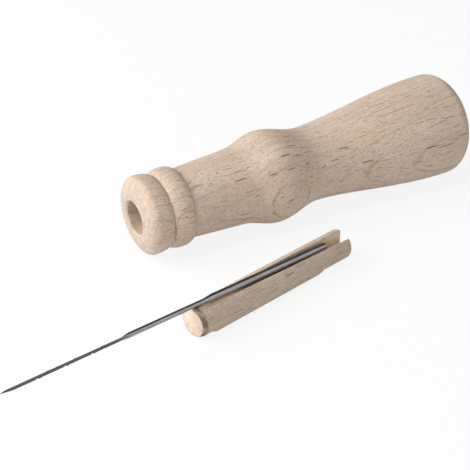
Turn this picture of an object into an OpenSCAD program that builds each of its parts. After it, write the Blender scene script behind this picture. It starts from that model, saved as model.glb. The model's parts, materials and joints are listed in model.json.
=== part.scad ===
// Scratch awl with a separate needle: a turned beech handle, a beech plug that
// wedges the needle in the handle's bore, and a stepped needle with a barbed blade.
// The handle lies on its bulge and its palm swell, with the plug drawn out and
// laid beside it and the needle resting in the plug's tapering groove.
// The origin is on the surface under the middle of the set, +X runs from the
// handle's mouth to its butt, and +Z is up.

/* [Handle] */
// Length from the mouth to the butt
handle_len = 103; // [90:0.5:120]
// Diameter of the flat ring round the bore's mouth
mouth_d = 12.4; // [11:0.1:15]
// Diameter of the front bead
front_bead_d = 21.2; // [19:0.1:24]
// Distance from the mouth to the crown of the front bead
front_bead_at = 2.7; // [1.5:0.1:4]
// Diameter at the bottom of the groove between the beads
bead_groove_d = 18.6; // [16:0.1:18.8]
// Distance from the mouth to the groove between the beads
bead_groove_at = 7; // [5.5:0.1:8]
// Diameter of the rear bead
rear_bead_d = 21.5; // [19:0.1:24]
// Distance from the mouth to the crown of the rear bead
rear_bead_at = 10.3; // [9:0.1:11.5]
// Diameter at the start of the neck
neck_d = 18.8; // [16:0.1:18.8]
// Distance from the mouth to the start of the neck
neck_at = 13.2; // [12:0.1:15]
// Diameter at the root of the bulge, where the neck ends
root_d = 20.8; // [19:0.1:22]
// Distance from the mouth to the root of the bulge
root_at = 29.5; // [26:0.5:32]
// Diameter of the bulge that stops the fingers
bulge_d = 25.7; // [23.5:0.1:27]
// Distance from the mouth to the crown of the bulge
bulge_at = 40; // [36:0.5:43]
// Diameter of the waist behind the bulge
waist_d = 20.9; // [19:0.1:22.5]
// Distance from the mouth to the waist
waist_at = 52.5; // [49:0.5:58]
// Diameter of the palm swell
palm_d = 29.6; // [27.5:0.1:34]
// Length of the rounded butt behind the palm swell
butt_len = 6.3; // [4:0.1:14]
// Fullness of the butt's curve, 2 for an ellipse and more for a squarer one
butt_fullness = 2.4; // [2:0.1:3]
// How early the palm swell rises, 1 for an even rise and less for an earlier one
swell_rise = 0.86; // [0.7:0.01:1.2]

/* [Bore] */
// Room in the bore beyond the plug's diameter, which the needle's shank takes up
wedge_room = 1; // [0.8:0.05:1.6]
// Depth of the bore beyond the plug's length
bore_spare = 4.2; // [2:0.2:12]
// Chamfer round the bore's mouth
mouth_chamfer = 0.4; // [0.2:0.1:0.8]

/* [Plug] */
// Diameter of the dowel that the plug is made of
plug_d = 8; // [7:0.1:9]
// Length of the plug
plug_len = 51.8; // [46:0.2:56]
// Diameter of the flat on the plug's outer end
plug_face_d = 7; // [6:0.1:7.4]
// Length of the chamfer round the plug's outer end
plug_chamfer_len = 1.1; // [0.5:0.1:2]
// Radius that rounds the plug's inner end
plug_end_round = 0.5; // [0.3:0.1:1.5]
// Height of the slim land along the plug's underside
land_h = 0.45; // [0.2:0.05:0.7]
// Radius of the land's crown
land_r = 2.5; // [1.5:0.1:2.8]
// Distance from the plug's outer end to the land
land_at = 4.5; // [3:0.5:8]
// Distance from the plug's inner end to the land
land_end_gap = 9; // [5:0.5:14]

/* [Needle] */
// Length of the needle
needle_len = 97; // [90:0.5:104]
// Diameter of the shank that the plug holds
shank_d = 1.83; // [1.6:0.01:2]
// Length of the shank
shank_len = 38.5; // [36:0.5:44]
// Length of the cone between the shank and the stem
shank_shoulder_len = 3.3; // [1.5:0.1:4]
// Diameter of the stem between the shank and the blade
stem_d = 1.25; // [1:0.05:1.5]
// Length of the stem
stem_len = 21.5; // [16:0.5:26]
// Length of the cone between the stem and the blade
stem_shoulder_len = 2.8; // [1.5:0.1:4]
// Distance from the blade's middle to its three edges
blade_r = 0.45; // [0.38:0.01:0.48]
// Distance from the blade's middle to its three flats
blade_flat = 0.25; // [0.24:0.01:0.3]
// Turn of the blade about its length
blade_turn = 17; // [0:1:60]
// Length of the point's cone
point_len = 3.2; // [2:0.1:6]
// Barbs on each of the blade's edges
barbs_per_edge = 3; // [1:1:3]
// Distance from the point to the first barb
barb_at = 7; // [6.5:0.1:8]
// Distance between one barb and the next, which is on the next edge
barb_step = 2.35; // [1.5:0.05:2.4]
// Length of the notch in front of a barb
barb_len = 0.7; // [0.4:0.1:1]
// Depth of the notch in front of a barb
barb_depth = 0.16; // [0.1:0.01:0.2]
// Length of the chamfer on the needle's butt
needle_chamfer = 0.3; // [0.1:0.05:0.6]
// How far the needle reaches into the plug from its outer end
needle_reach = 45; // [40:0.5:47]

/* [Groove] */
// Near-side offset of the needle's axis where it rests on the plug's outer lip
needle_near_out = 0.12; // [0:0.02:0.3]
// Near-side offset of the needle's axis at the needle's butt
needle_near_in = 0.7; // [0.5:0.05:0.9]
// Height of the needle's axis over the plug's axis at the needle's butt
needle_low = 2.4; // [2.3:0.05:2.8]
// Clearance between the needle and what it rests on
groove_clear = 0.05; // [0.02:0.01:0.1]
// Slope of the groove's near wall, whose far wall is upright
groove_slope = 36; // [32:1:40]
// Room under the shank at the groove's outer end
groove_room_out = 0.65; // [0.4:0.05:0.9]
// Room under the shank's line at the plug's inner end
groove_room_in = 0.05; // [0:0.05:0.3]
// Distance from the plug's outer end to the full depth of the groove and its ramp
ramp_at = 6.5; // [6:0.5:8]
// Distance from the plug's outer end to the end of the ramp
ramp_end = 13; // [11:0.5:15]
// Length over which the ramp's end rises to the plug's surface
ramp_rise_len = 4; // [2:0.5:6]
// Room under the shank along the ramp
ramp_room = 0.2; // [0.15:0.05:0.5]
// Tilt of the ramp, down towards the far side
ramp_tilt = 16; // [5:1:20]

/* [Layout] */
// How far the plug's outer end lies ahead of the handle's mouth
plug_ahead = 4.8; // [0:0.1:10]
// Distance from the handle's axis to the plug's outer end
plug_aside = 39.2; // [34:0.1:46]
// Angle between the plug and the handle, seen from above
plug_turn = 13.2; // [0:0.1:15]

/* [Hidden] */
$fn = 96;
arc_steps = 10;
curve_steps = 16;

bore_d = plug_d + wedge_room;
bore_depth = plug_len + bore_spare;
drill_angle = 118;
palm_at = handle_len - butt_len;

// Quarter of an ellipse that rises to a crown, from its foot to the crown.
function rising(s0, d0, s1, d1) = [
    for (i = [1:arc_steps])
        let (a = 90 * i / arc_steps)
            [s1 - (s1 - s0) * cos(a), (d0 + (d1 - d0) * sin(a)) / 2]
];

// Quarter of an ellipse that falls away from a crown, from the crown to its foot.
function falling(s0, d0, s1, d1) = [
    for (i = [1:arc_steps])
        let (a = 90 * i / arc_steps)
            [s0 + (s1 - s0) * sin(a), (d1 + (d0 - d1) * cos(a)) / 2]
];

// Smooth curve between two diameters that starts on a slope and ends level.
function easing(s0, d0, s1, d1, slope = 0, early = 1) = [
    for (i = [1:curve_steps])
        let (
            u = i / curve_steps,
            v = pow(u, early),
            run = slope * (s1 - s0) * (pow(u, 3) - 2 * u * u + u)
        )
            [s0 + (s1 - s0) * u, (d0 + (d1 - d0) * (3 * v * v - 2 * pow(v, 3)) + run) / 2]
];

// Rounded butt: a superellipse from the palm swell to the axis.
function rounded_butt() = [
    for (i = [1:curve_steps])
        let (a = 90 * i / curve_steps, k = 2 / butt_fullness)
            [
                palm_at + butt_len * pow(sin(a), k),
                i == curve_steps ? 0 : palm_d / 2 * pow(cos(a), k)
            ]
];

neck_slope = (root_d - neck_d) / (root_at - neck_at);

// Outline of the handle from the mouth to the butt, as distance and radius.
outline = concat(
    [[0, mouth_d / 2]],
    rising(0, mouth_d, front_bead_at, front_bead_d),
    falling(front_bead_at, front_bead_d, bead_groove_at, bead_groove_d),
    rising(bead_groove_at, bead_groove_d, rear_bead_at, rear_bead_d),
    falling(rear_bead_at, rear_bead_d, neck_at, neck_d),
    [[root_at, root_d / 2]],
    easing(root_at, root_d, bulge_at, bulge_d, neck_slope),
    easing(bulge_at, bulge_d, waist_at, waist_d),
    easing(waist_at, waist_d, palm_at, palm_d, 0, swell_rise),
    rounded_butt()
);

// How far the handle reaches below the middle of its mouth when its axis is
// raised by an angle, taken between two distances from the mouth.
function reach_below(raise, from, to) = max([
    for (p = outline)
        if (p[0] >= from && p[0] <= to)
            p[1] * cos(raise) - p[0] * sin(raise)
]);

// Raise of the axis at which the front and the palm touch one flat surface,
// found by halving the angle's range.
function lie_angle(low, high, steps) =
    let (
        mid = (low + high) / 2,
        front_lower = reach_below(mid, 0, waist_at) > reach_below(mid, waist_at, handle_len)
    )
        steps == 0 ? mid
        : front_lower ? lie_angle(low, mid, steps - 1)
        : lie_angle(mid, high, steps - 1);

handle_raise = lie_angle(-10, 15, 30);
mouth_height = reach_below(handle_raise, 0, handle_len);

// Half the widths that the shank and the stem take up, with their clearance.
shank_seat = shank_d / 2 + groove_clear;
stem_seat = stem_d / 2 + groove_clear;

// Needle's line in the plug's own axes: x along the plug from its outer end,
// y towards the far side and z up. The stem rests on the plug's outer lip.
needle_out = [plug_chamfer_len, -needle_near_out, plug_d / 2 + stem_seat];
needle_in = [needle_reach, -needle_near_in, needle_low];
needle_run = needle_in - needle_out;
needle_way = needle_run / norm(needle_run);
needle_turn = atan2(needle_way[1], needle_way[0]);
needle_dip = -asin(needle_way[2]);
butt_reach = norm(needle_run);
point_reach = needle_len - butt_reach;

// Where the stem and the shank start and end along that line.
shank_start = butt_reach - shank_len;
stem_end = shank_start - shank_shoulder_len;
stem_start = stem_end - stem_len;

// A point of the plug's own axes, seen in the handle's plan.
function from_plug(p) = [
    -plug_ahead + p[0] * cos(plug_turn) - p[1] * sin(plug_turn),
    -plug_aside + p[0] * sin(plug_turn) + p[1] * cos(plug_turn),
    plug_d / 2 + p[2]
];

// The set's box in plan, and the shift that centres it on the origin.
point_place = from_plug(needle_out - needle_way * point_reach);
butt_end = max([for (p = outline) p[0] * cos(handle_raise) + p[1] * sin(handle_raise)]);
handle_side = max([for (p = outline) p[1]]);
middle = [(point_place[0] + butt_end) / 2, (point_place[1] + handle_side) / 2, 0];

// Places a child that lies along the handle's axis from the mouth.
module at_handle() {
    translate([0, 0, mouth_height] - middle)
        rotate([0, -handle_raise, 0])
            children();
}

// Places a child in the plug's own axes.
module at_plug() {
    translate([-plug_ahead, -plug_aside, plug_d / 2] - middle)
        rotate([0, 0, plug_turn])
            children();
}

// Places a child along the needle's line, with x = 0 over the plug's outer lip.
module at_needle() {
    at_plug()
        translate(needle_out)
            rotate([0, needle_dip, needle_turn])
                children();
}

// Turns an outline of distance and radius about the x axis.
module turned(points) {
    rotate([90, 0, 90])
        rotate([0, 0, 90])
            rotate_extrude()
                polygon([for (p = points) [p[1], p[0]]]);
}

// Blind bore with a drill's cone at its end and a chamfered mouth.
module bore() {
    cone_len = bore_d / 2 / tan(drill_angle / 2);
    over = 1;
    rotate([0, 90, 0]) {
        translate([0, 0, -over])
            cylinder(h = bore_depth + over, d = bore_d);
        translate([0, 0, bore_depth])
            cylinder(h = cone_len, d1 = bore_d, d2 = 0);
        translate([0, 0, -over])
            cylinder(
                h = mouth_chamfer + over,
                d1 = bore_d + 2 * (mouth_chamfer + over),
                d2 = bore_d
            );
    }
}

// Turned handle: two beads, neck, bulge, waist and palm swell.
module handle() {
    color("#d3bda6")
        at_handle()
            difference() {
                turned(concat([[0, 0]], outline));
                bore();
            }
}

// Body of the plug: chamfered outer end, straight dowel, rounded inner end.
module dowel() {
    r = plug_d / 2;
    turned(concat(
        [[0, 0], [0, plug_face_d / 2], [plug_chamfer_len, r]],
        [
            for (i = [0:arc_steps])
                let (a = 90 * i / arc_steps)
                    [
                        plug_len - plug_end_round * (1 - sin(a)),
                        r - plug_end_round * (1 - cos(a))
                    ]
        ],
        [[plug_len, 0]]
    ));
}

// Slim land on the lower near side, between the plug's two ends.
module land() {
    from_axis = plug_d / 2 + land_h - land_r;
    rotate([-45, 0, 0])
        translate([land_at, 0, -from_axis])
            rotate([0, 90, 0])
                cylinder(h = plug_len - land_at - land_end_gap, r = land_r);
}

// Thin slice across the needle's line, of all that lies above a bottom edge,
// between a near wall and a far wall that rise from it at two angles.
module slice(at, across, drop, near, far) {
    thin = 0.01;
    bottom = [across, -drop];
    translate([at, 0, 0])
        rotate([90, 0, 90])
            linear_extrude(height = thin)
                polygon([
                    bottom,
                    bottom + plug_d * [cos(far), sin(far)],
                    bottom + plug_d * [0, 1],
                    bottom + plug_d * [cos(near), sin(near)]
                ]);
}

// Hull of slices between two walls, at stations of a distance from the plug's
// outer end and a depth below the needle's axis.
module cut(stations, across, near, far) {
    hull()
        for (s = stations)
            slice(s[0] - plug_chamfer_len, across, s[1], near, far);
}

// Flat ramp in the plug's outer end, which lets the needle down from the lip.
module ramp() {
    depth = shank_seat + ramp_room;
    cut(
        [
            [0, stem_d / 2],
            [ramp_at, depth],
            [ramp_end, depth],
            [ramp_end + ramp_rise_len, -shank_seat]
        ],
        0, 180 - ramp_tilt, -ramp_tilt
    );
}

// Groove under the needle, with an upright far wall and a sloping near wall.
module vee() {
    // Depth at which the shank would touch both walls.
    wedge_depth = shank_seat * (1 + sin(groove_slope)) / cos(groove_slope);
    over = 2;
    cut(
        [
            [ramp_at / 2, shank_seat],
            [ramp_at, wedge_depth + groove_room_out],
            [plug_len + over, wedge_depth + groove_room_in]
        ],
        shank_seat, 180 - groove_slope, 90
    );
}

// Plug that wedges the needle in the bore.
module plug() {
    color("#c8b39c")
        difference() {
            at_plug() {
                dowel();
                land();
            }
            at_needle() {
                ramp();
                vee();
            }
        }
}

// Notch in the edge at the top of the blade, with its barb behind it.
module barb_notch() {
    clear = 0.1;
    rotate([90, 0, 0])
        linear_extrude(height = 2 * blade_r, center = true)
            polygon([
                [-barb_len, blade_r + clear],
                [0, blade_r - barb_depth],
                [0, blade_r + clear]
            ]);
}

// Three-sided blade with a tapered point and barbs that step round its edges.
module blade() {
    difference() {
        intersection() {
            translate([-point_reach, 0, 0])
                rotate([blade_turn, 0, 0])
                    rotate([0, 90, 0])
                        rotate([0, 0, 180])
                            cylinder(h = point_reach + stem_start, r = 2 * blade_flat, $fn = 3);
            turned([
                [-point_reach, 0],
                [-point_reach + point_len, blade_r],
                [stem_start, blade_r],
                [stem_start, 0]
            ]);
        }
        for (i = [0:3 * barbs_per_edge - 1])
            translate([-point_reach + barb_at + i * barb_step, 0, 0])
                rotate([blade_turn - 120 * (i + 1), 0, 0])
                    barb_notch();
    }
}

// Needle: a round shank with a chamfered butt, a thinner stem and a barbed blade.
module needle() {
    shank_r = shank_d / 2;
    color("#8c8a8b")
        at_needle() {
            blade();
            turned([
                [stem_start - stem_shoulder_len, 0],
                [stem_start - stem_shoulder_len, blade_flat],
                [stem_start, stem_d / 2],
                [stem_end, stem_d / 2],
                [shank_start, shank_r],
                [butt_reach - needle_chamfer, shank_r],
                [butt_reach, shank_r - needle_chamfer],
                [butt_reach, 0]
            ]);
        }
}

handle();
plug();
needle();
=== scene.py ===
# %% [markdown]
# # A beech awl, taken apart
#
# This object is a plain bench awl: a turned beech handle, a beech plug and a steel
# needle. The needle lies in a groove of the plug. Pushed into the handle's bore, the
# plug wedges the needle fast. Here the plug is drawn out and lies beside the handle.
#
# The CAD model is the frame: it says where each piece lies and how big it is. The
# lesson builds each piece again with smoother curves and soft edges, and then gives
# each one the finish of its real material.

import json
import math

import bpy
from mathutils import Matrix, Vector, noise


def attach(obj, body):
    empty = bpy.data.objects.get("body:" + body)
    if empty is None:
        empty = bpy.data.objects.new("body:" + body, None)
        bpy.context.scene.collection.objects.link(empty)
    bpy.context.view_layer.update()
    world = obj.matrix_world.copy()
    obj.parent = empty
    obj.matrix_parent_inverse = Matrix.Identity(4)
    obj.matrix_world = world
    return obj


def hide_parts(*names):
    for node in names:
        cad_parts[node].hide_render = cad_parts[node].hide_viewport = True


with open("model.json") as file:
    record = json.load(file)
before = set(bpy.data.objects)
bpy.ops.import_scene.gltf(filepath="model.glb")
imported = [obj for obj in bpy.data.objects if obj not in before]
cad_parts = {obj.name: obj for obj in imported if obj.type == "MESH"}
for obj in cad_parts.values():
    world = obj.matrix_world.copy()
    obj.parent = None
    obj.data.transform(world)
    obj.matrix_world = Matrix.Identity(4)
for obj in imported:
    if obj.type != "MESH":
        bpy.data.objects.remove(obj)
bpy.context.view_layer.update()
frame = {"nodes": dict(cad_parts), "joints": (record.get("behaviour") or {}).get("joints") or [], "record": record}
MM = 0.001

# %% [markdown]
# ## The camera
#
# A long lens from a short distance above the bench shows the set as a catalogue does:
# the handle's mouth comes forward on the left, and the needle points down to the left.
# An azimuth, an elevation and a distance are easier to judge than three coordinates,
# so the camera's place is worked out from them.

# %% Aim the camera
VIEW_AZIMUTH = -30.88
VIEW_ELEVATION = 30.45
VIEW_DISTANCE = 302.5 * MM
FIELD_OF_VIEW = 23.7
SENSOR_WIDTH = 36
NEAREST = 0.01
AIM = Vector((4.039, 13.982, 0)) * MM

turn = math.radians(VIEW_AZIMUTH)
lift = math.radians(VIEW_ELEVATION)
back = Vector((
    math.sin(turn) * math.cos(lift),
    -math.cos(turn) * math.cos(lift),
    math.sin(lift),
))
camera_data = bpy.data.cameras.new("camera")
camera_data.sensor_width = SENSOR_WIDTH
camera_data.lens = SENSOR_WIDTH / 2 / math.tan(math.radians(FIELD_OF_VIEW / 2))
camera_data.clip_start = NEAREST
camera = bpy.data.objects.new("camera", camera_data)
camera.location = AIM + back * VIEW_DISTANCE
camera.rotation_mode = "QUATERNION"
camera.rotation_quaternion = (-back).to_track_quat("-Z", "Y")
scene = bpy.context.scene
scene.collection.objects.link(camera)
scene.camera = camera
scene.view_settings.view_transform = "Standard"
print("lens in mm:", round(camera_data.lens, 1))

# %% [markdown]
# ## Measuring the frame
#
# Each piece has its own axis: the handle's is the axis of its bore, the plug slides
# along its own, and the needle's runs from its point to the middle of its butt. A
# piece built along its own x axis and then placed by a matrix keeps simple numbers in
# its mesh, and its wood grain can follow the same axis.

# %% Find each piece's own axes
BUTT_SLICE = 0.08 * MM
bore = next(m for m in frame["record"]["mounts"] if m["name"] == "handle_bore")
joints = {j["name"]: j for j in frame["joints"]}


def own_axes(origin, along):
    """The matrix of a piece whose x axis lies along its length."""
    x = Vector(along).normalized()
    y = Vector((0, 0, 1)).cross(x).normalized()
    z = x.cross(y)
    return Matrix.Translation(origin) @ Matrix((x, y, z)).transposed().to_4x4()


def own_points(node, matrix):
    """A CAD node's vertices in the piece's own axes."""
    inverse = matrix.inverted()
    return [inverse @ v.co for v in frame["nodes"][node].data.vertices]


def off_axis(p):
    """A point's distance from its piece's x axis."""
    return math.hypot(p.y, p.z)


handle_rough = own_axes(Vector(bore["pos_m"]), [-v for v in bore["axis"]])
mouth_x = min(p.x for p in own_points("handle", handle_rough))
handle_axes = handle_rough @ Matrix.Translation((mouth_x, 0, 0))

plug_rough = own_axes(Vector((0, 0, 0)), [-v for v in joints["plug_slide"]["axis"]])
plug_points = own_points("plug", plug_rough)
low = Vector([min(p[i] for p in plug_points) for i in range(3)])
high = Vector([max(p[i] for p in plug_points) for i in range(3)])
PLUG_LENGTH = high.x - low.x
PLUG_RADIUS = (high.y - low.y) / 2
plug_axes = plug_rough @ Matrix.Translation((low.x, (low.y + high.y) / 2, low.z + PLUG_RADIUS))

needle_points = own_points("needle", plug_axes)
point = min(needle_points, key=lambda p: p.x)
butt_x = max(p.x for p in needle_points)
butt_points = [p for p in needle_points if p.x > butt_x - BUTT_SLICE]
butt = Vector([
    (min(p[i] for p in butt_points) + max(p[i] for p in butt_points)) / 2 for i in range(3)
])
needle_axes = own_axes(plug_axes @ point, plug_axes.to_3x3() @ (butt - point))
needle_points = own_points("needle", needle_axes)
NEEDLE_LENGTH = max(p.x for p in needle_points)
SHANK_RADIUS = max(off_axis(p) for p in needle_points)
print("plug in mm:", round(PLUG_LENGTH / MM, 2), "by", round(2 * PLUG_RADIUS / MM, 2))
print("needle in mm:", round(NEEDLE_LENGTH / MM, 2), "by", round(2 * SHANK_RADIUS / MM, 2))

# %% [markdown]
# ## Turning on a lathe
#
# The handle is a body of revolution. The CAD mesh holds its outline as rings of
# vertices, so the outline is read from there, curved smoothly between the rings, and
# swept round the axis as a lathe would. The needle and the plug are no bodies of
# revolution, but the same kind of skin over rings of points serves them later.

# %% Read an outline and curve it
CORNER = math.radians(38)
SAME_RING = 0.05 * MM


def rings(points, keep):
    """Distances and radii of a turned piece's rings, from its first to its last."""
    found = []
    for p in sorted(points, key=lambda q: (round(q.x, 6), -q.y**2 - q.z**2)):
        place = Vector((p.x, off_axis(p)))
        if keep(*place) and all((place - old).length > SAME_RING for old in found[-3:]):
            found.append(place)
    return found


def is_corner(a, b, c):
    """Whether an outline turns sharply at b."""
    one = Vector((b[0] - a[0], b[1] - a[1]))
    two = Vector((c[0] - b[0], c[1] - b[1]))
    return one.angle(two, 0) > CORNER


def curved(outline, parts):
    """An outline with a smooth curve through its points, except at its corners."""
    last = len(outline) - 1
    points = [Vector(p) for p in outline]
    sharp = [
        i in (0, last) or is_corner(outline[i - 1], outline[i], outline[i + 1])
        for i in range(last + 1)
    ]
    result = [points[0]]
    for i in range(last):
        a, b = points[i], points[i + 1]
        span = (b - a).length
        before = b - a if sharp[i] else (b - points[i - 1]).normalized() * span
        after = b - a if sharp[i + 1] else (points[i + 2] - a).normalized() * span
        for k in range(1, parts + 1):
            u = k / parts
            result.append(
                a * (2 * u**3 - 3 * u**2 + 1) + before * (u**3 - 2 * u**2 + u)
                + b * (3 * u**2 - 2 * u**3) + after * (u**3 - u**2)
            )
    return result


# %% Sweep an outline round the axis
TURNED_CREASE = 40


def add_mesh(name, vertices, faces, axes):
    """A smooth-shaded mesh object that is placed by its own axes."""
    mesh = bpy.data.meshes.new(name)
    mesh.from_pydata(vertices, [], faces)
    mesh.validate()
    mesh.shade_smooth()
    piece = bpy.data.objects.new(name, mesh)
    piece.matrix_world = axes
    scene.collection.objects.link(piece)
    return piece


def loft(name, vertices, around, axes, crease, reverse=False):
    """A closed skin over rings of points, between a first and a last point."""
    count = (len(vertices) - 2) // around
    end = len(vertices) - 1
    faces = [(0, 1 + (k + 1) % around, 1 + k) for k in range(around)]
    for i in range(count - 1):
        a = 1 + i * around
        b = a + around
        faces += [
            (a + k, a + (k + 1) % around, b + (k + 1) % around, b + k)
            for k in range(around)
        ]
    a = 1 + (count - 1) * around
    faces += [(a + k, a + (k + 1) % around, end) for k in range(around)]
    if reverse:
        faces = [face[::-1] for face in faces]
    piece = add_mesh(name, vertices, faces, axes)
    piece.data.set_sharp_from_angle(angle=math.radians(crease))
    return piece


def turned(name, outline, around, axes):
    """A closed body of revolution. The outline starts and ends on the axis."""
    vertices = [(outline[0][0], 0, 0)]
    for x, radius in outline[1:-1]:
        for k in range(around):
            angle = 2 * math.pi * k / around
            vertices.append((x, radius * math.cos(angle), radius * math.sin(angle)))
    vertices.append((outline[-1][0], 0, 0))
    return loft(name, vertices, around, axes, TURNED_CREASE)


# %% Turn the handle
HANDLE_SIDES = 192
BORE_PARTS, OUTSIDE_PARTS = 8, 3
IN_PLANE = 0.01 * MM
BUTT_SHARE = 0.9
BORE_SHARE = 0.99
handle_points = own_points("handle", handle_axes)
HANDLE_LENGTH = max(p.x for p in handle_points)
BORE_RADIUS = bore["dims"]["r_mm"] * MM
butt_start = BUTT_SHARE * HANDLE_LENGTH
edge_radius = min(off_axis(p) for p in handle_points if p.x < IN_PLANE)
bore_points = [p for p in handle_points if off_axis(p) < edge_radius and p.x < butt_start]
cone_tip = max(p.x for p in bore_points)
bore_floor = max(p.x for p in bore_points if off_axis(p) > BORE_SHARE * BORE_RADIUS)
wall_start = min(p.x for p in bore_points)

outside = rings(
    handle_points, lambda x, radius: radius > edge_radius + SAME_RING or x > butt_start
)
inside = [(cone_tip, 0), (bore_floor, BORE_RADIUS), (wall_start, BORE_RADIUS), (0, edge_radius)]
outline = curved(inside, BORE_PARTS) + curved(outside, OUTSIDE_PARTS)
bore_places = [round(v / MM, 2) for v in (wall_start, bore_floor, cone_tip)]
print("handle rings:", len(outside), "bore in mm:", bore_places)
handle = turned("beech_handle", outline, HANDLE_SIDES, handle_axes)
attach(handle, "handle")
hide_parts("handle")

# %% [markdown]
# ## The needle
#
# The needle is drawn steel wire in three thicknesses: the thick shank that the plug
# grips, a thinner stem, and a blade that was pressed to three edges, with barbs cut
# into the edges one after another. The CAD mesh holds the thicknesses of its round
# parts. The blade is too fine for a boolean cut to stay clean, so its radius is worked
# out at each angle: a triangle with soft edges, less a notch, plus the burr that the
# cutting chisel turned up behind each notch.

# %% The needle's round parts, in mm from its point
STEM_START, STEM_END = 33.7, 55.2
SHANK_START = 58.5
BUTT_ROUND = 0.35
SLACK = 0.1
needle_end = NEEDLE_LENGTH / MM
shank_r = SHANK_RADIUS / MM
stem_r = max(
    off_axis(p) for p in needle_points if STEM_START - SLACK < p.x / MM < STEM_END + SLACK
) / MM
print("shank and stem across in mm:", round(2 * shank_r, 2), round(2 * stem_r, 2))


def smooth(low, high, value):
    """0 below low, 1 above high, and a soft rise between them."""
    u = min(1, max(0, (value - low) / (high - low)))
    return u * u * (3 - 2 * u)


def spaced(start, step, count):
    """A row of evenly spaced distances."""
    return [start + step * i for i in range(count)]


# %% The blade's radius, with its barbs
# Lengths are in mm, and the barb's two angles say where it is whole and where it ends.
EDGE_R = 0.45
FLAT_R = 0.25
EDGE_SHARPNESS = 14
POINT_R = 0.02
POINT_LENGTH = 3.2
POINT_TAPER = 0.9
SHOULDER_LENGTH = 2.8
FIRST_EDGE = math.radians(107)
BARB_PLACES = spaced(7.0, 2.35, 9)
BARB_ANGLES = (0.25, 0.7)
NOTCH_LENGTH = 0.75
NOTCH_WALL = 0.05
NOTCH_DEPTH = 0.17
BURR_TOP = 0.1
BURR_LENGTH = 1.2
BURR_HEIGHT = 0.07


def blade_radius(x, angle):
    """Radius in mm of the three-sided blade, at a distance from its point."""
    third = 2 * math.pi / 3
    off_edge = (angle - FIRST_EDGE + third / 2) % third - third / 2
    flat = FLAT_R / math.cos(third / 2 - abs(off_edge))
    envelope = max(POINT_R, EDGE_R * min(1, x / POINT_LENGTH) ** POINT_TAPER)
    radius = (flat**-EDGE_SHARPNESS + envelope**-EDGE_SHARPNESS) ** (-1 / EDGE_SHARPNESS)
    for i, place in enumerate(BARB_PLACES):
        edge = FIRST_EDGE - third * (i + 1)
        aside = abs((angle - edge + math.pi) % (2 * math.pi) - math.pi)
        beside = x - place
        if aside > BARB_ANGLES[1] or not -NOTCH_LENGTH < beside < BURR_LENGTH:
            continue
        on_edge = 1 - smooth(*BARB_ANGLES, aside)
        if beside < 0:
            radius -= on_edge * NOTCH_DEPTH * smooth(-NOTCH_LENGTH, -NOTCH_WALL, beside)
        else:
            radius += on_edge * BURR_HEIGHT * (1 - smooth(BURR_TOP, BURR_LENGTH, beside))
    return radius


def needle_radius(x, angle):
    """Radius in mm at any place on the needle."""
    if x > STEM_START:
        radius = stem_r + (shank_r - stem_r) * smooth(STEM_END, SHANK_START, x)
    else:
        shoulder = smooth(STEM_START - SHOULDER_LENGTH, STEM_START, x)
        radius = blade_radius(x, angle) * (1 - shoulder) + stem_r * shoulder
    from_end = needle_end - x
    if from_end < BUTT_ROUND:
        bend = BUTT_ROUND - from_end
        radius -= BUTT_ROUND - math.sqrt(max(0, BUTT_ROUND**2 - bend**2))
    return radius


# %% Build the needle
# Its sections lie close where it curves or has barbs, and far apart on plain wire.
NEEDLE_SIDES = 48
NEEDLE_CREASE = 50
BARBED_FROM, BARBED_TO = 6.2, 27
BARBED_STEP = 0.08
BESIDE_BARB = 0.01
stations = [0.03, 0.1, 0.2, 0.35, 0.55, 0.8, 1.2, 1.7, 2.3, 2.8, 3.1, 3.3, 3.7]
stations += spaced(4.2, 0.5, 4) + spaced(27.5, 0.35, 20)
stations += spaced(34.6, 2, 10) + spaced(54.9, 0.3, 14) + spaced(60, 3, 12)
stations += [needle_end - d for d in (0.6, 0.35, 0.3, 0.24, 0.17, 0.1, 0.05, 0.02, 0.004)]
x = BARBED_FROM
while x < BARBED_TO:
    stations.append(x)
    x += BARBED_STEP
for place in BARB_PLACES:
    stations += [place - BESIDE_BARB, place + BESIDE_BARB]
vertices = [(0, 0, 0)]
for x in sorted(stations):
    for k in range(NEEDLE_SIDES):
        angle = FIRST_EDGE + 2 * math.pi * k / NEEDLE_SIDES
        r = needle_radius(x, angle)
        vertices.append((x * MM, r * math.cos(angle) * MM, r * math.sin(angle) * MM))
vertices.append((NEEDLE_LENGTH, 0, 0))
needle = loft("steel_needle", vertices, NEEDLE_SIDES, needle_axes, NEEDLE_CREASE)
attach(needle, "needle")
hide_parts("needle")
print("needle sections:", len(stations))

# %% [markdown]
# ## The plug
#
# The plug is a length of 8 mm beech dowel. Its outer end is chamfered and its inner end
# is worn round. A groove for the needle runs along its top: first a flat ramp that lets
# the needle down from the lip, then a vee that goes deeper inwards. The room under the
# shank shrinks on the way, so that the shank wedges. Seen across, each place on the
# plug is a circle with a bite cut from its top. The plug is lofted through such
# sections, because every corner of the bite can then be rubbed soft by a little, as
# handled wood is.

# %% Where the needle runs in the plug
# The groove's far wall is upright and stands a little clear of the shank.
SEAT_ROOM = 0.05
LIP_AT = 1.1
needle_in_plug = plug_axes.inverted() @ needle_axes
needle_start = needle_in_plug.translation / MM
needle_way = needle_in_plug.to_3x3() @ Vector((1, 0, 0))
SEAT = shank_r + SEAT_ROOM
plug_end = PLUG_LENGTH / MM
plug_r = PLUG_RADIUS / MM


def between(table, x):
    """A value read from a table of distances and values."""
    if x <= table[0][0]:
        return table[0][1]
    for (x0, v0), (x1, v1) in zip(table, table[1:]):
        if x <= x1:
            return v0 + (v1 - v0) * (x - x0) / (x1 - x0)
    return table[-1][1]


def needle_middle(x):
    """Where the needle's middle passes, across and up, at a distance along the plug."""
    p = needle_start + needle_way * ((x - needle_start.x) / needle_way.x)
    return p.y, p.z


print("needle over the lip in mm:", [round(v, 2) for v in needle_middle(LIP_AT)])

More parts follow.
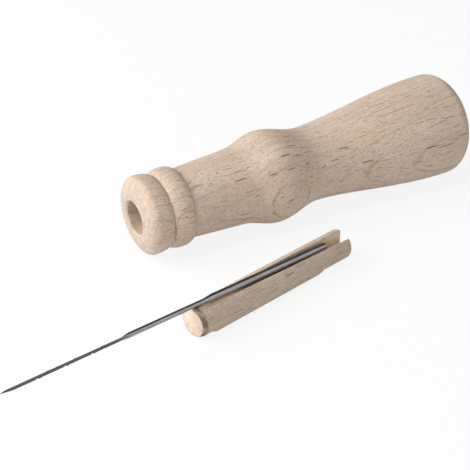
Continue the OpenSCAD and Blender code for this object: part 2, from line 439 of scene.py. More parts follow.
# %% The groove's sizes
# Depths in mm below the needle's middle, and the angle in degrees, up from the near
# side, of the groove's near edge. Each is given at distances from the plug's outer end.
RAMP_TILT = math.tan(math.radians(16))
RAMP_END = 17
VEE_START = 3.2
ramp_depth = [(0, 0.62), (6.5, SEAT + 0.2), (13, SEAT + 0.2), (RAMP_END, -SEAT)]
vee_depth = [(VEE_START, SEAT), (6.5, 2.54), (plug_end + 2, 2.2)]
near_edge = [(14, 60.5), (20, 58.6), (28, 54.2), (36.5, 50.2), (43, 48), (52, 43.2)]

# The dowel's radius: a small chamfer, the plain length, and the rounded inner end.
body_radius = [
    (0, 3.42), (0.06, 3.5), (0.3, 3.68), (0.6, 3.83), (0.95, 3.935), (1.3, 3.985),
    (1.7, plug_r), (plug_end - 0.4, plug_r),
    (plug_end - 0.28, plug_r - 0.02), (plug_end - 0.16, plug_r - 0.07),
    (plug_end - 0.07, plug_r - 0.15), (plug_end - 0.02, plug_r - 0.23),
    (plug_end, plug_r - 0.3),
]

# %% The groove across the plug
LEAST_SLOPE = 0.3
LEAST_STEP = 0.05
UNDER_RAMP = 0.01
OVER_EVERYTHING = 9
BEND_SHARE, STEP_SHARE = 0.25, 0.75


def circle_meets(radius, slope, height):
    """Where the line z = height + slope * y meets a circle: its two values of y."""
    a, b, c = 1 + slope**2, slope * height, height**2 - radius**2
    under = b * b - a * c
    if under <= 0:
        return None
    return (-b - math.sqrt(under)) / a, (-b + math.sqrt(under)) / a


def bite(x, radius):
    """Five corners of the groove across the plug, from its near to its far edge."""
    middle_y, middle_z = needle_middle(x)
    wall_y = middle_y + SEAT
    ramp_height = middle_z - between(ramp_depth, x) + RAMP_TILT * middle_y
    ramp = circle_meets(radius, -RAMP_TILT, ramp_height) if x < RAMP_END else None
    if wall_y > radius or (ramp is None and x < VEE_START):
        return None
    floor_z = middle_z - between(vee_depth, x) if x > VEE_START else OVER_EVERYTHING
    if x < RAMP_END:
        floor_z = min(floor_z, ramp_height - RAMP_TILT * wall_y - UNDER_RAMP)
    theta = math.radians(between(near_edge, x))
    edge_y, edge_z = -plug_r * math.cos(theta), plug_r * math.sin(theta)
    slope = max(LEAST_SLOPE, (edge_z - floor_z) / (wall_y - edge_y))
    wall = circle_meets(radius, -slope, floor_z + slope * wall_y)
    top_z = math.sqrt(radius**2 - wall_y**2)
    if ramp and ramp[0] < wall[0]:
        near = (ramp[0], ramp_height - RAMP_TILT * ramp[0])
        bend_y = (floor_z + slope * wall_y - ramp_height) / (slope - RAMP_TILT)
        bend = (bend_y, ramp_height - RAMP_TILT * bend_y)
    else:
        near = (wall[0], floor_z + slope * (wall_y - wall[0]))
        bend = tuple(n + BEND_SHARE * (f - n) for n, f in zip(near, (wall_y, floor_z)))
    ramp_z = ramp_height - RAMP_TILT * wall_y
    if ramp and ramp_z < top_z - LEAST_STEP:
        step = (wall_y, ramp_z)
        far = (ramp[1], ramp_height - RAMP_TILT * ramp[1])
    else:
        step = (wall_y, floor_z + STEP_SHARE * (top_z - floor_z))
        far = (wall_y, top_z)
    return [near, bend, (wall_y, floor_z), step, far]


# %% The land along the plug
# A slim land stands out along the lower near side, between the plug's two ends.
LAND_FROM, LAND_TO = 4.2, plug_end - 10
LAND_RUN_IN, LAND_RUN_OUT = 0.8, 1.0
LAND_ANGLE = -math.pi / 4
LAND_R = 2.5
LAND_OUT = 0.45


def body_at(x, radius, theta):
    """Radius of the dowel with its land, at an angle up from the near side."""
    centre = plug_r + LAND_OUT - LAND_R
    aside = theta - LAND_ANGLE
    reach = LAND_R**2 - (centre * math.sin(aside)) ** 2
    if reach <= 0 or math.cos(aside) <= 0:
        return radius
    land = centre * math.cos(aside) + math.sqrt(reach)
    rise = smooth(LAND_FROM, LAND_FROM + LAND_RUN_IN, x)
    fall = smooth(LAND_TO - LAND_RUN_OUT, LAND_TO, x)
    return radius + max(0, land - radius) * rise * (1 - fall)


# %% Sections across the plug
ARC_POINTS = 56
SOFT = 0.13
NEAR_WORN, FAR_WORN = 0.3, 0.9
LONGEST_SOFT = 0.45
TINY = 1e-6
TOP_ANGLES = (78, 84, 90, 96, 102)


def at_angle(r, theta):
    """A point across the plug, at an angle up from the near side."""
    return Vector((-r * math.cos(theta), r * math.sin(theta)))


def rounded(before, corner, after, soft):
    """Four points of a soft curve round a corner."""
    one, two = before - corner, after - corner
    start = corner + one * min(LONGEST_SOFT, soft / max(one.length, TINY))
    end = corner + two * min(LONGEST_SOFT, soft / max(two.length, TINY))
    return [
        start * (1 - u) ** 2 + corner * 2 * u * (1 - u) + end * u * u
        for u in (0, 0.33, 0.67, 1)
    ]


def section(x):
    """Points round the plug, from underneath, up the near side and over the top."""
    radius = between(body_radius, x)
    corners = bite(x, radius)
    if corners is None:
        corners = [at_angle(radius, math.radians(v)) for v in TOP_ANGLES]
    near_angle = math.atan2(corners[0][1], -corners[0][0])
    far_angle = math.atan2(corners[4][1], -corners[4][0])
    near_soft = SOFT + NEAR_WORN * smooth(plug_end - 1, plug_end, x)
    far_soft = SOFT + FAR_WORN * smooth(plug_end - 1.6, plug_end, x)
    near_start = near_angle - near_soft / radius
    far_end = far_angle + far_soft / radius
    bottom = -math.pi / 2
    points = []
    for k in range(ARC_POINTS):
        theta = bottom + (near_start - bottom) * k / (ARC_POINTS - 1)
        points.append(at_angle(body_at(x, radius, theta), theta))
    ring = [points[-1]] + [Vector(c) for c in corners] + [at_angle(radius, far_end)]
    softs = (near_soft, SOFT, SOFT, SOFT, far_soft)
    for i in range(1, 6):
        points += rounded(ring[i - 1], ring[i], ring[i + 1], softs[i - 1])
    for k in range(ARC_POINTS):
        theta = far_end + (bottom + 2 * math.pi - far_end) * (k + 1) / (ARC_POINTS + 1)
        points.append(at_angle(body_at(x, radius, theta - 2 * math.pi), theta))
    return points


# %% Loft the plug
# The wood is rubbed uneven by 0.02 mm, in waves of some millimetres. The last point
# closes the inner end below the groove.
RUB = 0.02
RUB_ALONG, RUB_ACROSS = 0.25, 0.6
END_Y, END_Z = 1.2, -2.5
PLUG_CREASE = 40
stations = [x for x, _ in body_radius] + [0.5, 1.1, 1.5]
stations += [plug_end - d for d in (1.3, 1, 0.7)]
stations += spaced(1.8, 0.4, 28) + spaced(13, 0.2, 20)
stations += spaced(17.2, 1, int(plug_end - 18.5))
stations = sorted(set(round(x, 3) for x in stations))
vertices = [(0, 0, 0)]
for x in stations:
    for y, z in section(x):
        rub = RUB * noise.noise((x * RUB_ALONG, y * RUB_ACROSS, z * RUB_ACROSS))
        grow = 1 + rub / plug_r
        vertices.append((x * MM, y * grow * MM, z * grow * MM))
vertices.append((PLUG_LENGTH, END_Y * MM, END_Z * MM))
around = len(section(stations[0]))
plug = loft("beech_plug", vertices, around, plug_axes, PLUG_CREASE, reverse=True)
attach(plug, "plug")
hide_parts("plug")
print("plug sections:", len(stations), "points in each:", around)

# %% [markdown]
# ## Studio
#
# Beech looks soft and warm under big lamps. A catalogue shoots a small tool on a white
# table with a large softbox at the left, a second one behind it and a weak fill from
# the front. A small one overhead lifts the tops, and a low one at the front reaches
# under the round sides, as a white card on the table would. Each softbox here is an
# area lamp, and its strength is given as the share of light that a matte surface facing
# it receives. No surface faces them all: one that looks up gets about 0.9 from the
# lamps, and the grey room adds 0.2, so a colour renders about as it is written.
#
# Steel shows the room itself. In gloss the room is bright in front and dark behind,
# with one bright screen at the front right, which lays a white line along the wire. The
# camera sees plain white, both past the table and on it.

# %% Colour and node helpers
def linear(hex_colour):
    """An sRGB hex colour as linear RGBA."""
    channels = [int(hex_colour[i:i + 2], 16) / 255 for i in (1, 3, 5)]
    curved_back = [
        c / 12.92 if c <= 0.04045 else ((c + 0.055) / 1.055) ** 2.4 for c in channels
    ]
    return (*curved_back, 1.0)


def add(tree, kind, inputs=None, **settings):
    """Adds a node, with its settings. An input is a value, a hex colour or a link."""
    made = tree.nodes.new("ShaderNode" + kind)
    for key, value in settings.items():
        setattr(made, key, value)
    for key, value in (inputs or {}).items():
        if isinstance(value, bpy.types.NodeSocket):
            tree.links.new(value, made.inputs[key])
        else:
            made.inputs[key].default_value = linear(value) if isinstance(value, str) else value
    return made


# %% Hang the softboxes
# Azimuth in degrees from +X towards +Y, elevation, width in metres, share of light.
CENTRE = Vector((0, 0, 10)) * MM
SOFTBOX_DISTANCE = 0.9
softboxes = {
    "key_softbox": (167, 37, 0.7, 0.84),
    "back_softbox": (140, 30, 0.5, 0.48),
    "top_softbox": (-100, 80, 0.2, 0.12),
    "fill_softbox": (-110, 32, 0.6, 0.105),
    "low_softbox": (-100, 3, 0.5, 0.22),
}
for name, (azimuth, elevation, width, share) in softboxes.items():
    turn, lift = math.radians(azimuth), math.radians(elevation)
    towards = Vector((
        math.cos(turn) * math.cos(lift), math.sin(turn) * math.cos(lift), math.sin(lift)
    ))
    data = bpy.data.lights.new(name, "AREA")
    data.shape = "SQUARE"
    data.size = width
    data.energy = share * math.pi**2 * SOFTBOX_DISTANCE**2
    lamp = bpy.data.objects.new(name, data)
    lamp.location = CENTRE + towards * SOFTBOX_DISTANCE
    lamp.rotation_mode = "QUATERNION"
    lamp.rotation_quaternion = (-towards).to_track_quat("-Z", "Y")
    scene.collection.objects.link(lamp)
print("softboxes:", len(softboxes))

# %% Lay the table
# The table shows mostly its own white and a little of its paper, which keeps the shadow.
HALF_TABLE = 3.0
TABLE_GLOW = 0.87
corners = [(-1, -1), (1, -1), (1, 1), (-1, 1)]
floor_mesh = bpy.data.meshes.new("table")
places = [(x * HALF_TABLE, y * HALF_TABLE, 0) for x, y in corners]
floor_mesh.from_pydata(places, [], [(0, 1, 2, 3)])
floor = bpy.data.objects.new("table", floor_mesh)
scene.collection.objects.link(floor)


def who_looks(tree):
    """Whether the camera sees a place, and whether gloss or glass shows it."""
    path = add(tree, "LightPath")
    mirrored = add(tree, "Math", {
        0: path.outputs["Is Glossy Ray"], 1: path.outputs["Is Transmission Ray"],
    }, operation="MAXIMUM")
    return path.outputs["Is Camera Ray"], mirrored.outputs[0]


white_table = bpy.data.materials.new("white_table")
white_table.use_nodes = True
tree = white_table.node_tree
tree.nodes.clear()
camera_looks, mirrored = who_looks(tree)
seen = add(tree, "Math", {0: camera_looks, 1: mirrored}, operation="MAXIMUM")
lit = add(tree, "Math", {0: seen.outputs[0], 1: TABLE_GLOW}, operation="MULTIPLY")
paper = add(tree, "BsdfDiffuse", {"Color": "#EDEDED"})
glow = add(tree, "Emission", {"Color": "#FFFFFF", "Strength": 1.0})
mixed = add(tree, "MixShader", {0: lit.outputs[0], 1: paper.outputs[0], 2: glow.outputs[0]})
add(tree, "OutputMaterial", {"Surface": mixed.outputs[0]})
floor_mesh.materials.append(white_table)
print("table across in m:", 2 * HALF_TABLE)

# %% Paint the room
# Strengths of its left and right, of what gloss sees in front and behind, and of the
# bright screen. The screen's edge and middle are cosines from the way it lies in.
ROOM_LEFT, ROOM_RIGHT = 0.265, 0.135
GLOSS_FRONT, GLOSS_BEHIND = 0.85, 0.06
SCREEN = 0.68
SCREEN_EDGE, SCREEN_MIDDLE = 0.9, 0.995
screen_way = Vector((0.62, -0.53, 0.58)).normalized()

world = bpy.data.worlds.new("room")
scene.world = world
world.use_nodes = True
tree = world.node_tree
tree.nodes.clear()
camera_looks, mirrored = who_looks(tree)
where = add(tree, "TexCoord")
axes = add(tree, "SeparateXYZ", {0: where.outputs["Generated"]})
side = add(tree, "MapRange", {
    "Value": axes.outputs["X"], "From Min": -1.0, "From Max": 1.0,
    "To Min": ROOM_LEFT, "To Max": ROOM_RIGHT,
})
dim = add(tree, "MapRange", {
    "Value": axes.outputs["Y"], "From Min": -0.5, "From Max": 0.4,
    "To Min": GLOSS_FRONT, "To Max": GLOSS_BEHIND,
})
facing = add(tree, "VectorMath", {
    0: where.outputs["Generated"], 1: screen_way,
}, operation="DOT_PRODUCT")
screen = add(tree, "MapRange", {
    "Value": facing.outputs["Value"], "From Min": SCREEN_EDGE, "From Max": SCREEN_MIDDLE,
    "To Max": SCREEN,
})
gloss = add(tree, "Math", {0: dim.outputs[0], 1: screen.outputs[0]}, operation="ADD")
room = add(tree, "Background", {"Color": "#FFFFFF", "Strength": side.outputs[0]})
mirror_room = add(tree, "Background", {"Color": "#FFFFFF", "Strength": gloss.outputs[0]})
white = add(tree, "Background", {"Color": "#FFFFFF", "Strength": 1.0})
unseen = add(tree, "MixShader", {0: mirrored, 1: room.outputs[0], 2: mirror_room.outputs[0]})
all_seen = add(tree, "MixShader", {0: camera_looks, 1: unseen.outputs[0], 2: white.outputs[0]})
add(tree, "OutputWorld", {"Surface": all_seen.outputs[0]})
print("room nodes:", len(tree.nodes))

# %% [markdown]
# ## Beech
#
# Beech is pale, pinkish brown and very even. Three things give it away: short dark
# dashes, which are its rays cut across, fine fibres along the grain, and faint dark
# lines where one year's growth ends. They all follow the tree, not the piece: the years
# are shells round the tree's pith, which lies outside a small turning. So the material
# first turns each place into a distance along the grain, a distance from the pith and a
# distance round it, and draws every pattern in those. The handle and the plug were sawn
# from different places, so each has a pith and a look of its own.
#
# The wood is sanded and unvarnished, which keeps its gloss low and broad.

# %% Where a place lies in the tree
# The grain wanders slowly: its noise turns once in about 29 mm.
WANDER_PER_MM = 0.035


def tree_places(tree, pith, warp):
    """Places in mm as they are, along and round the tree, and from its pith."""
    where = add(tree, "TexCoord")
    mm = add(tree, "VectorMath", {0: where.outputs["Object"], "Scale": 1 / MM}, operation="SCALE")
    slow = add(tree, "TexNoise", {"Vector": mm.outputs[0], "Scale": WANDER_PER_MM, "Detail": 1.0})
    centred = add(tree, "VectorMath", {
        0: slow.outputs["Color"], 1: (0.5, 0.5, 0.5),
    }, operation="SUBTRACT")
    shift = add(tree, "VectorMath", {
        0: centred.outputs[0], 1: (0, warp, warp),
    }, operation="MULTIPLY")
    bent = add(tree, "VectorMath", {0: mm.outputs[0], 1: shift.outputs[0]}, operation="ADD")
    off_pith = add(tree, "VectorMath", {0: bent.outputs[0], 1: (0, *pith)}, operation="SUBTRACT")
    axes = add(tree, "SeparateXYZ", {0: off_pith.outputs[0]})
    flat = add(tree, "CombineXYZ", {"Y": axes.outputs["Y"], "Z": axes.outputs["Z"]})
    from_pith = add(tree, "VectorMath", {0: flat.outputs[0]}, operation="LENGTH")
    angle = add(tree, "Math", {
        0: axes.outputs["Z"], 1: axes.outputs["Y"],
    }, operation="ARCTAN2")
    round_pith = add(tree, "Math", {
        0: angle.outputs[0], 1: math.hypot(*pith),
    }, operation="MULTIPLY")
    grain = add(tree, "CombineXYZ", {
        "X": axes.outputs["X"], "Y": from_pith.outputs["Value"], "Z": round_pith.outputs[0],
    })
    return mm.outputs[0], grain.outputs[0], from_pith.outputs["Value"]


# %% Patches, bands and coats
SOFTLY, EVENLY = "SMOOTHSTEP", "LINEAR"


def patches(tree, places, size, detail, spread, roughness=0.5, distortion=0.0, edge=EVENLY):
    """A share in patches of a size in mm. Spread: the noise's low and high, least, most."""
    scaled = add(tree, "VectorMath", {0: places, 1: size}, operation="DIVIDE")
    blots = add(tree, "TexNoise", {
        "Vector": scaled.outputs[0], "Scale": 1.0, "Detail": detail,
        "Roughness": roughness, "Distortion": distortion,
    })
    low, high, least, most = spread
    share = add(tree, "MapRange", {
        "Value": blots.outputs[0], "From Min": low, "From Max": high,
        "To Min": least, "To Max": most,
    }, interpolation_type=edge)
    return share.outputs[0]


def band(tree, value, rise, fall, most=1.0, falling=SOFTLY):
    """A share that rises between two values and falls again between two later ones."""
    up = add(tree, "MapRange", {
        "Value": value, "From Min": rise[0], "From Max": rise[1],
    }, interpolation_type=SOFTLY)
    down = add(tree, "MapRange", {
        "Value": value, "From Min": fall[0], "From Max": fall[1], "To Min": most, "To Max": 0.0,
    }, interpolation_type=falling)
    both = add(tree, "Math", {0: up.outputs[0], 1: down.outputs[0]}, operation="MULTIPLY")
    return both.outputs[0]


def coats(tree, colour, layers):
    """A colour with tones laid over it, one after another, each by its own share."""
    for share, tone in layers:
        mixed = add(tree, "Mix", {0: share, 6: colour, 7: tone}, data_type="RGBA")
        colour = mixed.outputs[2]
    return colour


# %% The ends of the years, and the rays
# A year's ring darkens over its last fifth and stops at once. The darker line shows
# only in places. A ray is a dash 1 to 2 mm long. A real one is 0.1 to 0.2 mm wide, and
# it is drawn at about 0.3 mm, so that it shows. Each dash fills half of its cell.
RAY_SIZE = (2.4, 6.0, 0.5)


def year_ends(tree, grain, from_pith, gap, shift, most):
    """The share of late growth, for rings a gap apart."""
    years = add(tree, "Math", {0: from_pith, 1: shift}, operation="SUBTRACT")
    phase = add(tree, "Math", {0: years.outputs[0], 1: gap}, operation="DIVIDE")
    part = add(tree, "Math", {0: phase.outputs[0]}, operation="FRACT")
    line = band(tree, part.outputs[0], (0.8, 0.95), (0.95, 1.0), falling=EVENLY)
    shown = patches(tree, grain, (9, 40, 3), 2.0, (0.4, 0.62, 0.1, most))
    late = add(tree, "Math", {0: line, 1: shown}, operation="MULTIPLY")
    return late.outputs[0]


def ray_dashes(tree, grain, most):
    """The share of ray, in dashes of which some are dark and most are faint."""
    scaled = add(tree, "VectorMath", {0: grain, 1: RAY_SIZE}, operation="DIVIDE")
    cells = add(tree, "TexVoronoi", {"Vector": scaled.outputs[0], "Scale": 1.0, "Randomness": 1.0})
    dash = add(tree, "MapRange", {
        "Value": cells.outputs["Distance"], "From Min": 0.1, "From Max": 0.28,
        "To Min": most, "To Max": 0.0,
    }, interpolation_type=SOFTLY)
    chance = add(tree, "SeparateXYZ", {0: cells.outputs["Color"]})
    kept = add(tree, "Math", {
        0: chance.outputs["X"], 1: chance.outputs["Y"],
    }, operation="MULTIPLY")
    ray = add(tree, "Math", {0: dash.outputs[0], 1: kept.outputs[0]}, operation="MULTIPLY")
    return ray.outputs[0]


# %% Marks that one piece of wood happens to have
MARK_DEPTH = 2.5
MARK_SOFTNESS = 0.45


def grown_marks(tree, mm, marks):
    """Short dark streaks, each a soft ellipsoid at a distance along and an angle round."""
    darkest = 0.0
    for start, end, theta, radius, width, strength in marks:
        angle = math.radians(theta)
        place = ((start + end) / 2, radius * math.cos(angle), radius * math.sin(angle))
        size = ((end - start) / 2 + width, MARK_DEPTH, width)
        spot = add(tree, "Mapping", {
            "Vector": mm, "Location": place, "Rotation": (angle, 0, 0), "Scale": size,
        }, vector_type="TEXTURE")
        ball = add(tree, "TexGradient", {"Vector": spot.outputs[0]}, gradient_type="SPHERICAL")
        edge = add(tree, "MapRange", {
            "Value": ball.outputs[1], "From Max": MARK_SOFTNESS, "To Max": strength,
        }, interpolation_type=SOFTLY)
        both = add(tree, "Math", {0: darkest, 1: edge.outputs[0]}, operation="MAXIMUM")
        darkest = both.outputs[0]
    return darkest


# %% Beech, sanded and unvarnished
# Sizes in mm, along the grain, from the pith and round it. Real fibres are some
# hundredths of a millimetre wide. They are drawn at 0.26 mm, so that they show.
CLOUD_SIZE = (30, 7, 7)
GLOW_SIZE = (13, 5, 5)
FIBRE_SIZE = (0.9, 0.26, 0.26)
STREAK_SIZE = (4.2, 0.5, 0.5)
FIBRE_HEIGHT = 0.06 * MM


def beech(name, pith, warp, year_gap, year_shift, tones, marks, ends):
    """Beech for one piece. Ends: what gives the coats that its own ends have."""
    material = bpy.data.materials.new(name)
    material.use_nodes = True
    tree = material.node_tree
    shader = tree.nodes["Principled BSDF"]
    mm, grain, from_pith = tree_places(tree, pith, warp)

    cloud = patches(tree, grain, CLOUD_SIZE, 3.0, (0.34, 0.66, 0.0, 1.0), 0.55)
    glow = patches(tree, grain, GLOW_SIZE, 1.0, (0.55, 0.75, 0.0, 0.45))
    late = year_ends(tree, grain, from_pith, year_gap, year_shift, tones["late_share"])
    scaled = add(tree, "VectorMath", {0: grain, 1: FIBRE_SIZE}, operation="DIVIDE")
    fibres = add(tree, "TexNoise", {
        "Vector": scaled.outputs[0], "Scale": 1.0, "Detail": 3.0, "Roughness": 0.7,
    })
    fibre = add(tree, "MapRange", {
        "Value": fibres.outputs[0], "From Min": 0.4, "From Max": 0.68,
        "To Max": tones["fibre_share"],
    })
    streak_spread = (0.57, 0.7, 0.0, tones["streak_share"])
    streak = patches(tree, grain, STREAK_SIZE, 2.0, streak_spread, edge=SOFTLY)
    layers = [
        (cloud, tones["plain"]),
        (glow, tones["warm"]),
        (late, tones["late"]),
        (fibre.outputs[0], tones["fibre"]),
        (streak, tones["ray"]),
        (ray_dashes(tree, grain, tones["ray_share"]), tones["ray"]),
        (grown_marks(tree, mm, marks), tones["mark"]),
    ]
    colour = coats(tree, tones["light"], layers + ends(tree, mm, tones))

    dull = add(tree, "MapRange", {"Value": fibres.outputs[0], "To Min": 0.56, "To Max": 0.74})
    bump = add(tree, "Bump", {
        "Height": fibres.outputs[0], "Strength": 0.35, "Distance": FIBRE_HEIGHT,
    })
    tree.links.new(colour, shader.inputs["Base Color"])
    tree.links.new(dull.outputs[0], shader.inputs["Roughness"])
    tree.links.new(bump.outputs[0], shader.inputs["Normal"])
    print(name, "nodes:", len(tree.nodes))
    return material


# %% [markdown]
# ## The handle's ends
#
# Where a turning ends, its fibres are cut across. Open fibres hold dust and drink in the damp of hands, so the end
# grain at the mouth and on the butt is duller and greyer than the sides, in spots. Part of that grey is painted
# shade: it darkens the mouth's edge and the butt as shade would. The rim between the mouth's face and its side
# stands out and was sanded most, so the wood glows warm there.

# %% Dull end grain with painted shade, and a warm rim
MOUTH_FACE = (0.6, 2.6)
MOUTH_GREY_AND_SHADE = 0.7
BUTT_FACE = (96.0, 102.5)
BUTT_GREY_AND_SHADE = 0.6
RIM_RISE, RIM_FALL = (0.3, 1.2), (2.2, 4.0)
RIM_WARM = 0.3
END_SPOT = 5 / 3
RIM_SPOT = 20 / 9


def handle_ends(tree, mm, tones):
    """Coats for the handle's two end faces, greyed partly as painted shade, and for the rim of its mouth."""
    along = add(tree, "SeparateXYZ", {0: mm}).outputs["X"]
    mouth = add(tree, "MapRange", {
        "Value": along, "From Min": MOUTH_FACE[0], "From Max": MOUTH_FACE[1],
        "To Min": MOUTH_GREY_AND_SHADE, "To Max": 0.0,
    }, interpolation_type=SOFTLY)
    butt = add(tree, "MapRange", {
        "Value": along, "From Min": BUTT_FACE[0], "From Max": BUTT_FACE[1],
        "To Max": BUTT_GREY_AND_SHADE,
    }, interpolation_type=SOFTLY)
    faces = add(tree, "Math", {0: mouth.outputs[0], 1: butt.outputs[0]}, operation="ADD")
    spots = patches(tree, mm, (END_SPOT,) * 3, 5.0, (0.38, 0.62, 0.05, 1.0), 0.65)
    # The grey spots on the end faces are partly dusty end grain and partly painted shade.
    grey_and_shade = add(tree, "Math", {0: faces.outputs[0], 1: spots}, operation="MULTIPLY")
    rim = band(tree, along, RIM_RISE, RIM_FALL, RIM_WARM)
    glows = patches(tree, mm, (RIM_SPOT,) * 3, 4.0, (0.45, 0.62, 0.0, 1.0), 0.65)
    warmed = add(tree, "Math", {0: rim, 1: glows}, operation="MULTIPLY")
    return [(grey_and_shade.outputs[0], tones["end"]), (warmed.outputs[0], tones["rim"])]


# %% The handle's beech
# Each mark: from and to along the handle, angle round it, radius, half width, strength.
# The first four of each row are the printout of a separate helper script, which is a fault:
# they should be chosen by hand or worked out here by a loop.
handle_marks = [
    (39.1, 42.7, 130, 12.7, 0.24, 0.85),
    (42.7, 46.7, 134, 12.0, 0.20, 0.70),
    (41.8, 46.7, 119, 12.1, 0.18, 0.65),
    (43.3, 46.6, 102, 12.0, 0.16, 0.50),
    (25.3, 29.4, 141, 10.3, 0.22, 0.80),
    (34.3, 37.8, 148, 12.1, 0.20, 0.70),
    (39.4, 42.9, 148, 12.7, 0.18, 0.65),
    (46.2, 47.4, 148, 11.5, 0.20, 0.60),
    (54.6, 57.1, 155, 10.6, 0.20, 0.80),
    (51.0, 53.2, 160, 10.5, 0.20, 0.70),
    (57.5, 61.3, 142, 10.9, 0.18, 0.75),
    (39.0, 40.9, 186, 12.8, 0.26, 0.80),
    (46.7, 49.4, 132, 11.2, 0.18, 0.60),
    (63.4, 67.9, 170, 11.7, 0.24, 0.90),
    (83.1, 88.3, 173, 14.2, 0.26, 0.90),
    (87.3, 94.4, 176, 14.6, 0.22, 0.65),
    (81.0, 83.2, 182, 13.9, 0.20, 0.50),
    (79.6, 89.1, 142, 14.1, 0.14, 0.40),
    (90.8, 95.0, 146, 14.7, 0.20, 0.60),
    (77.0, 85.3, 119, 13.8, 0.16, 0.45),
    (70.1, 73.7, 154, 12.6, 0.16, 0.45),
    (9.6, 10.0, 168, 10.7, 0.26, 0.80),
    (22.1, 22.2, 119, 9.9, 0.30, 0.60),
    (28.5, 33.7, 161, 10.8, 0.14, 0.45),
]
handle_tones = {
    "light": "#E0CEBE", "plain": "#CFBBAA", "warm": "#DAC2A2",
    "late": "#9A7F69", "late_share": 0.62, "fibre": "#AD947F", "fibre_share": 0.7,
    "ray": "#8E725C", "ray_share": 1.0, "streak_share": 0.55, "mark": "#6B4A35",
    "end": "#AE9F93", "rim": "#DDB48C",
}
handle_beech = beech(
    "beech_handle", pith=(59.3, 9.4), warp=1.2, year_gap=2.0, year_shift=69.91,
    tones=handle_tones, marks=handle_marks, ends=handle_ends,
)
handle.data.materials.append(handle_beech)

# %% [markdown]
# ## The plug's outer end
#
# The plug's cut face stays pale and torn, as a saw leaves it. Round the chamfer the wood is darker in a ring, more
# in one place than in another. The groove was cut later than the dowel was turned, so the wood inside it is fresh
# and pale, and it is painted paler still, as painted light in its shaded hollow. Each of these follows from how
# far a place lies along the plug or from its middle.

# %% Cut face, dark ring and fresh groove with painted light
FACE_DEPTH = (0.02, 0.07)
RING_RISE, RING_FALL = (0.03, 0.12), (1.0, 1.7)
RING_DARK = 0.75
RING_SPOT = 10 / 7
TEAR_SIZE = 5 / 4
GROOVE_SKIN = (3.6, 3.85)
GROOVE_START = (1.5, 2.5)
GROOVE_FRESH_AND_LIGHT = 0.85


def plug_ends(tree, mm, tones):
    """Coats for the plug's cut face, the dark ring behind it and the groove, whose pale tone is partly painted
    light.
    """
    along = add(tree, "SeparateXYZ", {0: mm}).outputs["X"]
    # A darker ring round the chamfer, darker in some patches than in others.
    ring = band(tree, along, RING_RISE, RING_FALL, RING_DARK)
    ring_patches = patches(tree, mm, (RING_SPOT,) * 3, 2.0, (0.35, 0.6, 0.35, 1.25))
    dark_ring_share = add(tree, "Math", {0: ring, 1: ring_patches}, operation="MULTIPLY", use_clamp=True)
    face = add(tree, "MapRange", {
        "Value": along, "From Min": FACE_DEPTH[0], "From Max": FACE_DEPTH[1],
        "To Min": 1.0, "To Max": 0.0,
    })
    tears = patches(tree, mm, (TEAR_SIZE,) * 3, 4.0, (0.35, 0.65, 0.25, 0.85), distortion=0.6)
    torn = add(tree, "Math", {0: face.outputs[0], 1: tears}, operation="MULTIPLY")
    # The groove's pale tone is partly fresh wood and partly painted light, which lifts its shaded hollow.
    across = add(tree, "VectorMath", {0: mm, 1: (0, 1, 1)}, operation="MULTIPLY")
    off_middle = add(tree, "VectorMath", {0: across.outputs[0]}, operation="LENGTH")
    under_skin = add(tree, "MapRange", {
        "Value": off_middle.outputs["Value"],
        "From Min": GROOVE_SKIN[0], "From Max": GROOVE_SKIN[1],
        "To Min": GROOVE_FRESH_AND_LIGHT, "To Max": 0.0,
    })
    behind = add(tree, "MapRange", {
        "Value": along, "From Min": GROOVE_START[0], "From Max": GROOVE_START[1],
    })
    fresh_with_painted_light = add(tree, "Math", {
        0: under_skin.outputs[0], 1: behind.outputs[0],
    }, operation="MULTIPLY")
    return [
        (dark_ring_share.outputs[0], tones["dark_ring"]),
        (torn.outputs[0], tones["cut"]),
        (fresh_with_painted_light.outputs[0], tones["fresh_with_painted_light"]),
    ]


# %% The plug's beech
plug_tones = {
    "light": "#D8C5B2", "plain": "#C6B3A1", "warm": "#C9B08C",
    "late": "#917A67", "late_share": 0.5, "fibre": "#9B8878", "fibre_share": 0.6,
    "ray": "#836B58", "ray_share": 0.8, "streak_share": 0.4, "mark": "#6B4A35",
    "dark_ring": "#6E563F", "cut": "#E8D2BD", "fresh_with_painted_light": "#E4D0B8",
}
plug_marks = [(14.5, 16.5, 20, 4.0, 0.3, 0.5), (27.0, 31.0, 150, 4.0, 0.25, 0.5)]
plug_beech = beech(
    "beech_plug", pith=(-30.0, 22.0), warp=1.0, year_gap=1.6, year_shift=0.4,
    tones=plug_tones, marks=plug_marks, ends=plug_ends,
)
plug.data.materials.append(plug_beech)
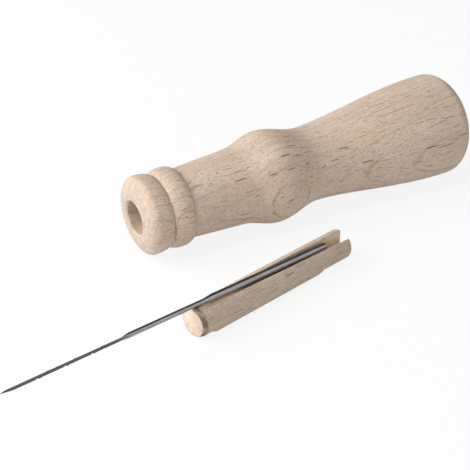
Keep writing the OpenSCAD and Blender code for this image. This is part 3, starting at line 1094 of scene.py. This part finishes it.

# %% [markdown]
# ## Drawn steel
#
# The needle is carbon steel wire, drawn through dies, pressed at its blade and polished in a drum with its
# fellows. Drawing leaves very fine lines along the wire, so the gloss is satin, and it varies a little from place
# to place. The lines are a few hundredths of a millimetre apart. They are drawn here at about 0.1 mm, so that they
# show at all. Steel's colour is its reflection, so its base colour is a plain grey. The blade is the same steel
# with a darker grey, which is painted shade: it dims what its flat faces reflect.

# %% Carbon steel, drawn and polished
LINE_SIZE = (9, 0.12, 0.12)
LINE_HEIGHT = 0.03 * MM
PATCH_SIZE = (5, 1.5, 1.5)
BLADE_END = (30.0, STEM_START)
carbon_steel = bpy.data.materials.new("carbon_steel")
carbon_steel.use_nodes = True
tree = carbon_steel.node_tree
shader = tree.nodes["Principled BSDF"]
shader.inputs["Metallic"].default_value = 1.0
where = add(tree, "TexCoord")
mm = add(tree, "VectorMath", {0: where.outputs["Object"], "Scale": 1 / MM}, operation="SCALE")
patch = patches(tree, mm.outputs[0], PATCH_SIZE, 2.0, (0.35, 0.65, 0.0, 1.0))
wire = coats(tree, "#8B898A", [(patch, "#979596")])
along = add(tree, "SeparateXYZ", {0: mm.outputs[0]})
wire_share = add(tree, "MapRange", {
    "Value": along.outputs["X"], "From Min": BLADE_END[0], "From Max": BLADE_END[1],
})
# The blade's darker grey is painted shade on the same steel. The wire's grey takes over along the shoulder.
steel = coats(tree, "#605E5F", [(wire_share.outputs[0], wire)])
scaled = add(tree, "VectorMath", {0: mm.outputs[0], 1: LINE_SIZE}, operation="DIVIDE")
lines = add(tree, "TexNoise", {"Vector": scaled.outputs[0], "Scale": 1.0, "Detail": 3.0})
gloss = add(tree, "MapRange", {
    "Value": lines.outputs[0], "From Min": 0.3, "From Max": 0.7, "To Min": 0.14, "To Max": 0.24,
})
bump = add(tree, "Bump", {
    "Height": lines.outputs[0], "Strength": 0.25, "Distance": LINE_HEIGHT,
})
tree.links.new(steel, shader.inputs["Base Color"])
tree.links.new(gloss.outputs[0], shader.inputs["Roughness"])
tree.links.new(bump.outputs[0], shader.inputs["Normal"])
needle.data.materials.append(carbon_steel)
print("steel nodes:", len(tree.nodes))
